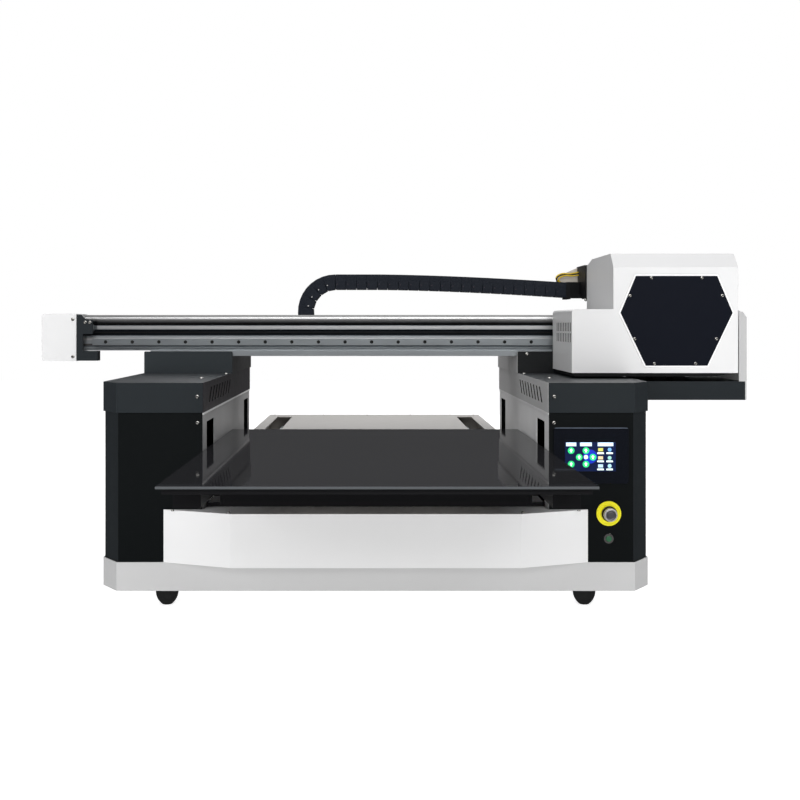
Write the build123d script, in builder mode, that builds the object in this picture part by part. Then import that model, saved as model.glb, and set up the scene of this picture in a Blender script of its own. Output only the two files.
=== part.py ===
from build123d import *
import os

# Flatbed UV printer: a moving glass bed between two cabinets, under a gantry that carries the print carriage.
#
# Millimetres. +X is the machine's right, -Y its front, +Z up. The origin is on the floor, under the middle.

os.makedirs("parts", exist_ok=True)

# ---- driving dimensions ----
SHEET = 2.0  # thickness of the folded covers
GAP = 0.3  # running clearance between bodies

BASE_X, BASE_FRONT, BASE_REAR = 520.0, -289.0, 571.0
BASE_BOTTOM, DECK_TOP = 35.5, 89.0
CHAMFER_X, CHAMFER_Y = 36.0, 53.0  # cut front corners of base and cabinets

CABINET_IN, CABINET_OUT, CABINET_TOP = 323.7, 517.0, 368.0
CAP_IN, CAP_OUT, CAP_TOP = 322.0, 520.0, 424.0
RISER_IN, RISER_FRONT, RISER_TOP = 319.0, 159.0, 462.0

BULGE_FRONT, BULGE_TOP = -343.5, 187.5
BULGE_HALF, BULGE_FACE_HALF = 396.0, 265.0

BEAM_LEFT, BEAM_RIGHT = -672.0, 720.0
BEAM_FRONT, BEAM_BACK = 193.0, 273.0
BEAM_BOTTOM, BEAM_TOP = 474.5, 555.0
RAIL_SIZE, RAIL_PITCH = 15.0, 60.0
RAIL_LEFT, RAIL_RIGHT = -637.5, 682.5
RAIL_Z = 494.0

X_PULLEY_R, X_PULLEY_Z = 10.5, 525.5
X_IDLER_X, X_DRIVE_X = -650.0, 700.0
BED_PULLEY_R, BED_PULLEY_Z = 12.0, 255.0
BED_IDLER_Y, BED_DRIVE_Y = -452.0, 765.0

BED_X, BED_FRONT, BED_REAR = 317.5, -815.0, 135.0
GLASS_TOP, GLASS_BOTTOM, PLATE_BOTTOM = 301.0, 296.0, 288.0
Y_RAIL_X = 243.0
BED_BLOCKS_Y = (-430.0, -140.0)
LIFT_FRONT, LIFT_REAR = -470.0, 812.5  # ends of the lift frame's long tubes

ARM_Y = (-173.0, 494.0)  # lift arms, through the openings of the inner panels
ARM_END, ROD_X = 470.0, 450.0
OPENING_Z = (190.0, 347.0)

CHAIN_Y = (285.0, 345.0)
CHAIN_BEND_X, CHAIN_BEND_Z, CHAIN_OUTER_R, CHAIN_THICK = -93.0, 563.5, 87.5, 35.0
CHAIN_END_X = 449.0

LEFT_END, RIGHT_END = -750.0, 750.0  # outer faces of the two end covers
FOOT_X, FOOT_Y, FOOT_R = 398.0, (-237.0, 520.0), 21.5

SCREW_R, SCREW_HEAD_H = 4.0, 2.2
CAP_SLOTS, CAP_SLOT_Y, CAP_SLOT_PITCH = 8, -213.0, 44.0  # leaning air slots in the inner side of each cap
SLOT_LOW, SLOT_HIGH = 382.0, 411.0
REAR_SLOT_Z = 250.0  # lowest of the air slots in the rear of each cabinet
HEAD_X = (555.0, 595.0, 635.0)  # print heads


# ---- helpers: each adds to, or cuts, the part being built ----
def block(x0, x1, y0, y1, z0, z1, mode=Mode.ADD):
    with Locations(((x0 + x1) / 2, (y0 + y1) / 2, (z0 + z1) / 2)):
        Box(x1 - x0, y1 - y0, z1 - z0, mode=mode)


def rod(start, axis, radius, length, mode=Mode.ADD):
    with BuildSketch(Plane(origin=start, z_dir=axis)) as section:
        Circle(radius)
    extrude(section.sketch, amount=length, mode=mode)


def prism(points, z0, z1, mode=Mode.ADD):
    with BuildSketch(Plane.XY.offset(z0)) as outline:
        with BuildLine():
            Polyline(*points, close=True)
        make_face()
    extrude(outline.sketch, amount=z1 - z0, mode=mode)


def along_x(points, x0, x1, mode=Mode.ADD):
    """A profile given as (y, z) points, extruded from x0 to x1."""
    with BuildSketch(Plane(origin=(x0, 0, 0), x_dir=(0, 1, 0), z_dir=(1, 0, 0))) as outline:
        with BuildLine():
            Polyline(*points, close=True)
        make_face()
    extrude(outline.sketch, amount=x1 - x0, mode=mode)


def along_y(points, y0, y1, mode=Mode.ADD):
    """A profile given as (x, z) points, extruded from y0 to y1."""
    with BuildSketch(Plane(origin=(0, y1, 0), x_dir=(1, 0, 0), z_dir=(0, -1, 0))) as outline:
        with BuildLine():
            Polyline(*points, close=True)
        make_face()
    extrude(outline.sketch, amount=y1 - y0, mode=mode)


def screw(site, normal, head=SCREW_HEAD_H):
    """A button-head screw whose head stands on the surface at site."""
    rod(site, normal, SCREW_R, head)
    inward = tuple(-n for n in normal)
    rod(site, inward, 1.5, SHEET)


def screw_hole(site, normal):
    inward = tuple(-n for n in normal)
    rod(site, inward, 1.8, SHEET + 0.5, mode=Mode.SUBTRACT)


def cabinet_outline(side, inner, outer, front, rear, inset):
    """Plan of a cabinet or cap with its cut front corner; the inner side stays open when inset."""
    open_side = inner if inset == 0 else inner - 10
    cut = inset * 0.45
    return [
        (side * open_side, front + inset),
        (side * (outer - CHAMFER_X - cut), front + inset),
        (side * (outer - inset), front + CHAMFER_Y + cut),
        (side * (outer - inset), rear - inset),
        (side * open_side, rear - inset),
    ]


def write(item, label):
    item.part.label = label
    export_step(item.part, f"parts/{label}.step")


# ---- screw sites ----
FRONT, UP = (0, -1, 0), (0, 0, 1)
CABINET_FACE, CAP_FACE = -287.0, -290.0
CABINET_SCREW, CAP_SCREW = (333.0, CABINET_FACE, 349.0), (333.0, CAP_FACE, 398.0)
CAP_TOP_SCREWS = [(354.0, -88.0, CAP_TOP), (330.0, 130.0, CAP_TOP)]
RISER_SCREW = (340.0, RISER_FRONT, 467.0)
END_COVER_SCREWS = [(-680.0, 171.0, 545.0), (-680.0, 171.0, 461.0)]
BRACKET_SCREWS = [(-650.5, 165.0, 538.0), (-640.0, 165.0, 538.0)]


def mirrored(site, side):
    return (side * site[0], site[1], site[2])


# ---- base ----
base_plan = [
    (-BASE_X, BASE_FRONT + CHAMFER_Y),
    (-BASE_X + CHAMFER_X, BASE_FRONT),
    (BASE_X - CHAMFER_X, BASE_FRONT),
    (BASE_X, BASE_FRONT + CHAMFER_Y),
    (BASE_X, BASE_REAR),
    (-BASE_X, BASE_REAR),
]
PAN_IN = BASE_X - SHEET
pan_inside = [
    (-PAN_IN, BASE_FRONT + CHAMFER_Y + 0.9),
    (-PAN_IN + CHAMFER_X - 1.1, BASE_FRONT + SHEET),
    (PAN_IN - CHAMFER_X + 1.1, BASE_FRONT + SHEET),
    (PAN_IN, BASE_FRONT + CHAMFER_Y + 0.9),
    (PAN_IN, BASE_REAR - SHEET),
    (-PAN_IN, BASE_REAR - SHEET),
]
PAN_FLOOR = BASE_BOTTOM + 3
with BuildPart() as base_pan:
    prism(base_plan, BASE_BOTTOM, DECK_TOP)
    prism(pan_inside, PAN_FLOOR, DECK_TOP, mode=Mode.SUBTRACT)
write(base_pan, "base_pan")

with BuildSketch(Plane.XZ) as foot_profile:
    with BuildLine():
        Polyline((9, 0), (0, 0), (0, BASE_BOTTOM), (FOOT_R, BASE_BOTTOM), (FOOT_R, 26))
        ThreePointArc((FOOT_R, 26), (FOOT_R - 5, 8), (9, 0))
    make_face()
foot = revolve(foot_profile.sketch, axis=Axis.Z)
with BuildPart() as feet:
    with Locations(*[(x, y, 0) for x in (-FOOT_X, FOOT_X) for y in FOOT_Y]):
        add(foot)
write(feet, "feet")

TUBE_TOP = DECK_TOP - 3
with BuildPart() as chassis_frame:
    for side in (-1, 1):
        centre = side * FOOT_X
        block(centre - 20, centre + 20, -280, 565, PAN_FLOOR, TUBE_TOP)
        block(centre - 17, centre + 17, -281, 566, PAN_FLOOR + 3, TUBE_TOP - 3, mode=Mode.SUBTRACT)
    for y in FOOT_Y:
        block(-FOOT_X + 20, FOOT_X - 20, y - 20, y + 20, PAN_FLOOR, TUBE_TOP)
        block(-FOOT_X + 20, FOOT_X - 20, y - 17, y + 17, PAN_FLOOR + 3, TUBE_TOP - 3, mode=Mode.SUBTRACT)
    prism([(x * 0.9995, y * 0.999) for x, y in pan_inside], TUBE_TOP, DECK_TOP)
    block(-321, 321, -252, -249, DECK_TOP, 195)
    for side in (-1, 1):
        x0, x1 = sorted((side * 360, side * 490))
        block(x0, x1, 172, 298, DECK_TOP, 462.5)
        block(x0 + 4, x1 - 4, 176, 294, DECK_TOP, 452.5, mode=Mode.SUBTRACT)
        for y in ARM_Y:
            rod((side * ROD_X, y, TUBE_TOP - 1), UP, 26, 5, mode=Mode.SUBTRACT)
write(chassis_frame, "chassis_frame")

with BuildPart() as lift_actuators:
    for side in (-1, 1):
        for y in ARM_Y:
            rod((side * ROD_X, y, PAN_FLOOR), UP, 25, 195 - PAN_FLOOR)
            rod((side * ROD_X, y, PAN_FLOOR + 4), UP, 9 + GAP + 0.1, 160, mode=Mode.SUBTRACT)
write(lift_actuators, "lift_actuators")

# ---- front cover ----
BACK = CABINET_FACE - GAP
cover_plan = [
    (-BULGE_HALF, BASE_FRONT - 0.5),
    (-BULGE_FACE_HALF, BULGE_FRONT),
    (BULGE_FACE_HALF, BULGE_FRONT),
    (BULGE_HALF, BASE_FRONT - 0.5),
    (BULGE_HALF, BACK),
    (-BULGE_HALF, BACK),
]
cover_hollow = [
    (-BULGE_HALF + 6, BASE_FRONT),
    (-BULGE_FACE_HALF + 1, BULGE_FRONT + SHEET),
    (BULGE_FACE_HALF - 1, BULGE_FRONT + SHEET),
    (BULGE_HALF - 6, BASE_FRONT),
    (BULGE_HALF - 6, BACK + 1),
    (-BULGE_HALF + 6, BACK + 1),
]
with BuildPart() as front_cover:
    prism(cover_plan, DECK_TOP, BULGE_TOP)
    prism(cover_hollow, DECK_TOP + SHEET, BULGE_TOP - SHEET, mode=Mode.SUBTRACT)
    block(-321, 321, BACK, -252, BULGE_TOP - SHEET, BULGE_TOP)
    for x in (-345, 345, -265, 265):
        rod((x, -292 if abs(x) > 300 else -262, BULGE_TOP), (0, 0, -1), 1.8, 3, mode=Mode.SUBTRACT)
write(front_cover, "front_cover")

# ---- touch screen, switches: sizes shared with the cabinet cut-outs ----
SCREEN_X, SCREEN_Z = (332.0, 472.0), (236.0, 340.5)
ESTOP = (435.0, CABINET_FACE, 180.0)
POWER = (435.0, CABINET_FACE, 133.0)

# ---- cabinets, inner panels, caps and risers, left then right ----
for side, name in ((-1, "left"), (1, "right")):
    plan = cabinet_outline(side, CABINET_IN, CABINET_OUT, CABINET_FACE, BASE_REAR, 0)
    hollow = cabinet_outline(side, CABINET_IN, CABINET_OUT, CABINET_FACE, BASE_REAR, SHEET)
    with BuildPart() as cabinet:
        prism(plan, DECK_TOP, CABINET_TOP)
        prism(hollow, DECK_TOP, CABINET_TOP, mode=Mode.SUBTRACT)
        screw_hole(mirrored(CABINET_SCREW, side), FRONT)
        x0, x1 = sorted((side * 370, side * 470))
        for slot in range(8):
            z = REAR_SLOT_Z + 10 * slot
            block(x0, x1, BASE_REAR - 3, BASE_REAR + 1, z, z + 4, mode=Mode.SUBTRACT)
        if side > 0:
            block(SCREEN_X[0] + 8, SCREEN_X[1] - 8, -290, -280, 244, 332, mode=Mode.SUBTRACT)
            rod((ESTOP[0], -290, ESTOP[2]), (0, 1, 0), 11.3, 10, mode=Mode.SUBTRACT)
            rod((POWER[0], -290, POWER[2]), (0, 1, 0), 7.2, 10, mode=Mode.SUBTRACT)
        else:
            block(-472, -424, 565, 575, 108, 136, mode=Mode.SUBTRACT)
    write(cabinet, f"{name}_cabinet")

    with BuildPart() as inner_panel:
        x0, x1 = sorted((side * CABINET_IN, side * (CABINET_IN + SHEET)))
        block(x0, x1, CABINET_FACE + SHEET, BASE_REAR - SHEET, DECK_TOP, CABINET_TOP)
        for y in ((-229, -117), (442, 546)):
            block(x0 - 1, x1 + 1, *y, *OPENING_Z, mode=Mode.SUBTRACT)
    write(inner_panel, f"{name}_inner_panel")

    cap_rear = BASE_REAR + 2
    with BuildPart() as cap:
        prism(cabinet_outline(side, CAP_IN, CAP_OUT, CAP_FACE, cap_rear, 0), CABINET_TOP, CAP_TOP)
        inside = cabinet_outline(side, CAP_IN, CAP_OUT, CAP_FACE, cap_rear, SHEET)
        inside = [(side * max(abs(x), CAP_IN + SHEET), y) for x, y in inside]
        prism(inside, CABINET_TOP + SHEET, CAP_TOP - SHEET, mode=Mode.SUBTRACT)
        inside = cabinet_outline(side, CAP_IN, CAP_OUT, CAP_FACE, cap_rear, 3 * SHEET)
        inside = [(side * max(abs(x), CAP_IN + 3 * SHEET), y) for x, y in inside]
        prism(inside, CABINET_TOP - 1, CABINET_TOP + SHEET, mode=Mode.SUBTRACT)
        x0, x1 = sorted((side * 345, side * 505))
        block(x0, x1, 165, 305, CAP_TOP - 5, CAP_TOP + 1, mode=Mode.SUBTRACT)
        x0, x1 = sorted((side * (CAP_IN - 1), side * (CAP_IN + SHEET + 1)))
        for slot in range(CAP_SLOTS):
            y = CAP_SLOT_Y + CAP_SLOT_PITCH * slot
            leaning = [(y, SLOT_LOW), (y + 17, SLOT_LOW), (y + 51, SLOT_HIGH), (y + 34, SLOT_HIGH)]
            along_x(leaning, x0, x1, mode=Mode.SUBTRACT)
        screw_hole(mirrored(CAP_SCREW, side), FRONT)
        for site in CAP_TOP_SCREWS:
            screw_hole(mirrored(site, side), UP)
    write(cap, f"{name}_cap")

    with BuildPart() as riser:
        x0, x1 = sorted((side * RISER_IN, side * CABINET_OUT))
        block(x0, x1, RISER_FRONT + SHEET, BASE_REAR, CAP_TOP, RISER_TOP)
        block(x0 + SHEET, x1 - SHEET, 163, 569, CAP_TOP, RISER_TOP - SHEET, mode=Mode.SUBTRACT)
        block(x0, x1, RISER_FRONT, RISER_FRONT + SHEET, CAP_TOP, 473)
        top_corners = riser.edges().filter_by(Axis.Y).group_by(Axis.Z)[-1]
        fillet(top_corners, 3)
        y0, y1 = 168, 302
        x0, x1 = sorted((side * 350, side * 500))
        block(x0, x1, y0, y1, RISER_TOP - 5, RISER_TOP + 1, mode=Mode.SUBTRACT)
        if side > 0:
            screw_hole(RISER_SCREW, FRONT)
    write(riser, f"{name}_riser")

# ---- gantry ----
with BuildPart() as beam_base_plate:
    block(-505, 505, 170, 277, 462.5, BEAM_BOTTOM)
write(beam_base_plate, "beam_base_plate")

beam_profile = [
    (BEAM_FRONT, BEAM_BOTTOM),
    (BEAM_BACK, BEAM_BOTTOM),
    (BEAM_BACK, BEAM_TOP),
    (BEAM_FRONT + 1.5, BEAM_TOP),
    (BEAM_FRONT, 553),
    (BEAM_FRONT - 1, 547),
    (BEAM_FRONT, 538.5),
    (207, 538.5),
    (207, 531),
    (BEAM_FRONT, 531),
    (BEAM_FRONT, 522),
    (207, 522),
    (207, 508),
    (BEAM_FRONT, 508),
    (BEAM_FRONT, 485),
    (BEAM_FRONT + 3, 483),
    (BEAM_FRONT + 3, 479),
    (BEAM_FRONT, 477),
]
rail_hole_x = [RAIL_LEFT + RAIL_PITCH / 2 + RAIL_PITCH * k for k in range(22)]
with BuildPart() as gantry_beam:
    along_x(beam_profile, BEAM_LEFT, BEAM_RIGHT)
    block(BEAM_LEFT, BEAM_RIGHT, 211, 269, 519, 551, mode=Mode.SUBTRACT)
    block(BEAM_LEFT, BEAM_RIGHT, 211, 269, 478.5, 515, mode=Mode.SUBTRACT)
    block(BEAM_LEFT - 1, -630, 190, 207, 508, 541, mode=Mode.SUBTRACT)
    block(680, BEAM_RIGHT + 1, 190, 207, 508, 541, mode=Mode.SUBTRACT)
    rod((X_DRIVE_X, 200, X_PULLEY_Z), (0, 1, 0), 6, 80, mode=Mode.SUBTRACT)
    for x in rail_hole_x:
        rod((x, 190, RAIL_Z), (0, 1, 0), 2, 10, mode=Mode.SUBTRACT)
write(gantry_beam, "gantry_beam")

RAIL_FRONT = BEAM_FRONT - RAIL_SIZE
with BuildPart() as x_rail:
    block(RAIL_LEFT, RAIL_RIGHT, RAIL_FRONT, BEAM_FRONT, RAIL_Z - 7.5, RAIL_Z + 7.5)
    for z in (RAIL_Z - 7.5, RAIL_Z + 7.5):
        block(RAIL_LEFT, RAIL_RIGHT, 183, 187, z - 1.2, z + 1.2, mode=Mode.SUBTRACT)
    for x in rail_hole_x:
        rod((x, RAIL_FRONT, RAIL_Z), (0, 1, 0), 3.75, 5.3, mode=Mode.SUBTRACT)
        rod((x, RAIL_FRONT, RAIL_Z), (0, 1, 0), 2.25, 20, mode=Mode.SUBTRACT)
write(x_rail, "x_rail")

with BuildPart() as x_rail_screws:
    for x in rail_hole_x:
        rod((x, RAIL_FRONT + 1.3, RAIL_Z), (0, 1, 0), 3.5, 4)
        rod((x, RAIL_FRONT + 5.3, RAIL_Z), (0, 1, 0), 1.9, 16)
        rod((x, RAIL_FRONT + 1.3, RAIL_Z), (0, 1, 0), 1.5, 2, mode=Mode.SUBTRACT)
write(x_rail_screws, "x_rail_screws")

with BuildPart() as left_end_cover:
    block(LEFT_END, BEAM_LEFT, 171, 275, 451, 557.5)
    fillet(left_end_cover.edges().filter_by(Axis.Y).group_by(Axis.X)[0], 7)
    block(LEFT_END + SHEET, BEAM_LEFT, 173, 273, 453, 555.5, mode=Mode.SUBTRACT)
    block(LEFT_END + 1, BEAM_LEFT, 220, 250, 500, 530)
    for site in END_COVER_SCREWS:
        screw_hole(site, FRONT)
write(left_end_cover, "left_end_cover")

bracket_face = [
    (-670, 452),
    (-623, 452),
    (-623, 474),
    (-656, 474),
    (-656, 512),
    (-634, 512),
    (-634, 544),
    (-648, 544),
    (-659, 555),
    (-670, 555),
]
with BuildPart() as idler_bracket:
    along_y(bracket_face, 165, 171)
    block(-670, -664, 171, BEAM_FRONT, BEAM_BOTTOM, 500)
    block(-670, -623, 171, BEAM_FRONT, 452, 474)
    rod((X_IDLER_X, 170, X_PULLEY_Z), (0, 1, 0), 4, 36)
    for site in BRACKET_SCREWS:
        screw_hole(site, FRONT)
write(idler_bracket, "idler_bracket")

BELT_X_Y = (195.5, 203.5)
with BuildPart() as x_belt:
    middle = ((X_IDLER_X + X_DRIVE_X) / 2, BELT_X_Y[1], X_PULLEY_Z)
    with BuildSketch(Plane(origin=middle, x_dir=(1, 0, 0), z_dir=(0, -1, 0))):
        SlotCenterToCenter(X_DRIVE_X - X_IDLER_X, 2 * (X_PULLEY_R + 0.6))
        SlotCenterToCenter(X_DRIVE_X - X_IDLER_X, 2 * (X_PULLEY_R - 0.6), mode=Mode.SUBTRACT)
    extrude(amount=BELT_X_Y[1] - BELT_X_Y[0])
write(x_belt, "x_belt")


def flanged_pulley(centre, axis, core, width):
    """A belt pulley with a flange on each side; centre is the middle of its width."""
    back = tuple(c - a * width / 2 for c, a in zip(centre, axis))
    lip = tuple(c - a * (width / 2 + 1) for c, a in zip(centre, axis))
    rod(lip, axis, core + 2.8, width + 2)
    rod(back, axis, core + 4, width, mode=Mode.SUBTRACT)
    rod(back, axis, core, width)


with BuildPart() as x_drive_pulley:
    flanged_pulley((X_DRIVE_X, 199.5, X_PULLEY_Z), (0, 1, 0), 9.4, 8.6)
    rod((X_DRIVE_X, 194.2, X_PULLEY_Z), (0, 1, 0), 4, 91)
    rod((X_DRIVE_X, 193, X_PULLEY_Z), (0, 1, 0), 1.5, 6, mode=Mode.SUBTRACT)
write(x_drive_pulley, "x_drive_pulley")

with BuildPart() as x_idler_pulley:
    flanged_pulley((X_IDLER_X, 199.5, X_PULLEY_Z), (0, 1, 0), 9.4, 8.6)
    rod((X_IDLER_X, 193, X_PULLEY_Z), (0, 1, 0), 4.05, 20, mode=Mode.SUBTRACT)
write(x_idler_pulley, "x_idler_pulley")

with BuildPart() as x_motor:
    block(671.5, 728.5, BEAM_BACK, BEAM_BACK + 5, 497, 554)
    block(672.5, 727.5, BEAM_BACK + 5, 323, 498, 553)
    fillet(x_motor.edges().filter_by(Axis.Y), 3)
    rod((X_DRIVE_X, 270, X_PULLEY_Z), (0, 1, 0), 4 + GAP, 17, mode=Mode.SUBTRACT)
write(x_motor, "x_motor")

SHELF_Z = (380.5, 418.0)
with BuildPart() as right_shelf:
    block(CAP_OUT, RIGHT_END - 3, -105, 300, *SHELF_Z)
    block(CAP_OUT + 2, RIGHT_END - 5, -103, 298, SHELF_Z[0] + 2, SHELF_Z[1] - 2, mode=Mode.SUBTRACT)
    block(535, 655, -75, 105, SHELF_Z[1] - 3, SHELF_Z[1] + 1, mode=Mode.SUBTRACT)
write(right_shelf, "right_shelf")

front_lip = [
    (734.5, SHELF_Z[1]),
    (RIGHT_END, SHELF_Z[1]),
    (RIGHT_END, 548),
    (RIGHT_END - 8, 559),
    (734.5, 559),
]
with BuildPart() as right_end_cover:
    wall = [(-105, SHELF_Z[0]), (330, SHELF_Z[0]), (330, 562), (-56, 562), (-105, 548)]
    along_x(wall, RIGHT_END - 3, RIGHT_END)
    block(735, RIGHT_END - 3, 328, 330, SHELF_Z[0], 562)
    along_y(front_lip, -105, -103)
    block(BEAM_RIGHT, RIGHT_END - 3, 215, 255, 490, 540)
write(right_end_cover, "right_end_cover")

with BuildPart() as capping_unit:
    block(538, 652, -72, 102, 394, 412)
    block(541, 649, -69, 99, 398, 412, mode=Mode.SUBTRACT)
    for x in HEAD_X:
        block(x - 12, x + 12, -24, 74, 398, 425.5)
        block(x - 10, x + 10, -22, 72, 421, 425.5, mode=Mode.SUBTRACT)
write(capping_unit, "capping_unit")

TROUGH_FLOOR = 473.3
with BuildPart() as chain_trough:
    block(-675, 475, CHAIN_Y[0] - 6, CHAIN_Y[1] + 6, TROUGH_FLOOR, 520)
    block(-677, 473, CHAIN_Y[0] - 4, CHAIN_Y[1] + 4, TROUGH_FLOOR + 2, 518, mode=Mode.SUBTRACT)
    block(-677, -5, CHAIN_Y[0] - 4, CHAIN_Y[1] + 4, 517, 521, mode=Mode.SUBTRACT)
    for x in (-600, -200, 300):
        block(x - 20, x + 20, BEAM_BACK, CHAIN_Y[0] - 6, 482, 510)
write(chain_trough, "chain_trough")

# ---- cable chain ----
bend = (CHAIN_BEND_X, CHAIN_BEND_Z)


def chain_profile(y0, y1, wall):
    """Half ring on the left of the bend's centre, and the lower run to the right of it."""
    outer, inner = CHAIN_OUTER_R - wall, CHAIN_OUTER_R - CHAIN_THICK + wall
    end = 460 + (1 if wall else 0)
    x, z = bend
    with BuildSketch(Plane(origin=(0, y1, 0), x_dir=(1, 0, 0), z_dir=(0, -1, 0))) as ring:
        with BuildLine():
            ThreePointArc((x, z + outer), (x - outer, z), (x, z - outer))
            Polyline((x, z - outer), (end, z - outer), (end, z - inner), (x, z - inner))
            ThreePointArc((x, z - inner), (x - inner, z), (x, z + inner))
            Line((x, z + inner), (x, z + outer))
        make_face()
    extrude(ring.sketch, amount=y1 - y0, mode=Mode.SUBTRACT if wall else Mode.ADD)


with BuildPart() as chain_bend:
    chain_profile(*CHAIN_Y, 0)
    chain_profile(CHAIN_Y[0] + 4, CHAIN_Y[1] - 4, 3)
write(chain_bend, "chain_bend")

CHAIN_HIGH = CHAIN_BEND_Z + CHAIN_OUTER_R
CHAIN_LOW = 632.0
run_top = [(CHAIN_BEND_X + 0.5, CHAIN_HIGH), (85, CHAIN_HIGH - 0.5), (270, 643), (CHAIN_END_X, CHAIN_LOW)]
run_outline = run_top + [(x, z - CHAIN_THICK) for x, z in reversed(run_top)]
bore_outline = [(x, z - 3) for x, z in run_top] + [(x, z - CHAIN_THICK + 3) for x, z in reversed(run_top)]
with BuildPart() as chain_upper_run:
    along_y(run_outline, *CHAIN_Y)
    along_y(bore_outline, CHAIN_Y[0] + 4, CHAIN_Y[1] - 4, mode=Mode.SUBTRACT)
write(chain_upper_run, "chain_upper_run")

# ---- print carriage ----
PLATE_Y = (152.0, 165.0)
with BuildPart() as carriage_back_plate:
    block(440, 690, *PLATE_Y, 477, 558)
    block(440, 690, 142, 152, 435, 558)
    block(545, 585, 165, 204.5, 509.5, 520.5)
    block(545, 585, 195, 205, 513.8, 516.2, mode=Mode.SUBTRACT)
write(carriage_back_plate, "carriage_back_plate")

with BuildPart() as x_bearing_blocks:
    for x in (485, 645):
        block(x - 30.5, x + 30.5, 165, 189, 477, 511)
        block(x - 31, x + 31, RAIL_FRONT - GAP, 190, RAIL_Z - 7.8, RAIL_Z + 7.8, mode=Mode.SUBTRACT)
        block(x - 31, x + 31, 188.9, 190, 476, 512, mode=Mode.SUBTRACT)
write(x_bearing_blocks, "x_bearing_blocks")

with BuildPart() as carriage_base_plate:
    along_y([(402, 428), (690, 428), (728, 435), (402, 435)], -100, 150)
    for x in HEAD_X:
        block(x - 14, x + 14, -22, 72, 427, 436, mode=Mode.SUBTRACT)
    for x in (440, 694):
        block(x - 22, x + 22, -40, 90, 427, 436, mode=Mode.SUBTRACT)
write(carriage_base_plate, "carriage_base_plate")

COVER_FRONT, COVER_TOP, COVER_RIGHT = -104.0, 678.0, 733.0
upper_profile = [
    (COVER_FRONT, 435),
    (COVER_FRONT, 649),
    (-74, COVER_TOP),
    (130, COVER_TOP),
    (195, 666),
    (195, 564),
    (150, 564),
    (150, 435),
]
upper_hollow = [
    (COVER_FRONT + 2.5, 434),
    (COVER_FRONT + 2.5, 648),
    (-73, 675.5),
    (129.8, 675.5),
    (192.5, 663.9),
    (192.5, 566.5),
    (147.5, 566.5),
    (147.5, 434),
]
with BuildPart() as carriage_cover:
    block(397, 482, COVER_FRONT, 150, 435, 564)
    fillet(carriage_cover.edges().filter_by(Axis.Y).group_by(Axis.X)[0].sort_by(Axis.Z)[-1], 6)
    along_x(upper_profile, 481, COVER_RIGHT)
    block(399.5, 485, COVER_FRONT + 2.5, 147.5, 434, 561.5, mode=Mode.SUBTRACT)
    along_x(upper_hollow, 483.5, COVER_RIGHT - 2.5, mode=Mode.SUBTRACT)
    block(430, 700, 140, 151, 434, 561.5, mode=Mode.SUBTRACT)
    for slot in range(9):
        y = -92 + 22 * slot
        for z in (497, 519):
            block(396, 401, y, y + 9, z, z + 18, mode=Mode.SUBTRACT)
write(carriage_cover, "carriage_cover")

HEX_X, HEX_MID_Z = 608.0, 556.5
HEX_TOP, HEX_BOTTOM = (82.0, 631.0), (62.0, 450.0)
hexagon = [
    (HEX_X - HEX_TOP[0], HEX_TOP[1]),
    (HEX_X + HEX_TOP[0], HEX_TOP[1]),
    (HEX_X + 113, HEX_MID_Z),
    (HEX_X + HEX_BOTTOM[0], HEX_BOTTOM[1]),
    (HEX_X - HEX_BOTTOM[0], HEX_BOTTOM[1]),
    (HEX_X - 113, HEX_MID_Z),
]
with BuildPart() as hex_plate:
    along_y(hexagon, COVER_FRONT - 3, COVER_FRONT)
write(hex_plate, "hex_plate")

hex_screws = [(-51, 627), (51, 627), (-94, 591), (92, 591), (-85, 504), (80, 504), (-45, 454), (38, 454)]
with BuildPart() as hex_plate_screws:
    for x, z in hex_screws:
        rod((HEX_X + x, COVER_FRONT - 3, z), FRONT, 3.6, 2)
write(hex_plate_screws, "hex_plate_screws")

with BuildPart() as print_heads:
    for x in HEAD_X:
        block(x - 13, x + 13, -20, 70, 426, 470)
        block(x - 10, x + 10, -12, 62, 470, 520)
write(print_heads, "print_heads")

with BuildPart() as uv_lamps:
    for x in (440, 694):
        block(x - 20, x + 20, -38, 88, 429.5, 530)
        for fin in range(9):
            y = -28 + 13 * fin
            block(x - 21, x + 21, y, y + 6, 480, 531, mode=Mode.SUBTRACT)
write(uv_lamps, "uv_lamps")

with BuildPart() as chain_arm:
    block(516, 570, 152, CHAIN_Y[1], 558, 563.5)
    block(518, 556, 337, CHAIN_Y[1], 563.5, 596)
    block(CHAIN_END_X + 10, 556, *CHAIN_Y, 596, 605)
    block(CHAIN_END_X + 10, 481, 290, 330, 605, 633)
    block(CHAIN_END_X, CHAIN_END_X + 10, *CHAIN_Y, 593, 633)
write(chain_arm, "chain_arm")

with BuildPart() as junction_box:
    block(481, 503, 230, 330, 605, 670)
    block(483, 501, 232, 328, 607, 668, mode=Mode.SUBTRACT)
    block(485, 486.5, 198, 240, 592, 650)
write(junction_box, "junction_box")

with BuildPart() as wire_loop:
    with BuildLine(Plane.XZ.offset(-308)) as route:
        FilletPolyline((432, 635), (437, 655), (460, 662), (481, 662), radius=12)
    with BuildSketch(Plane(origin=route.line @ 0, z_dir=route.line % 0)):
        Circle(2.5)
    sweep(path=route.line)
write(wire_loop, "wire_loop")

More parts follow.
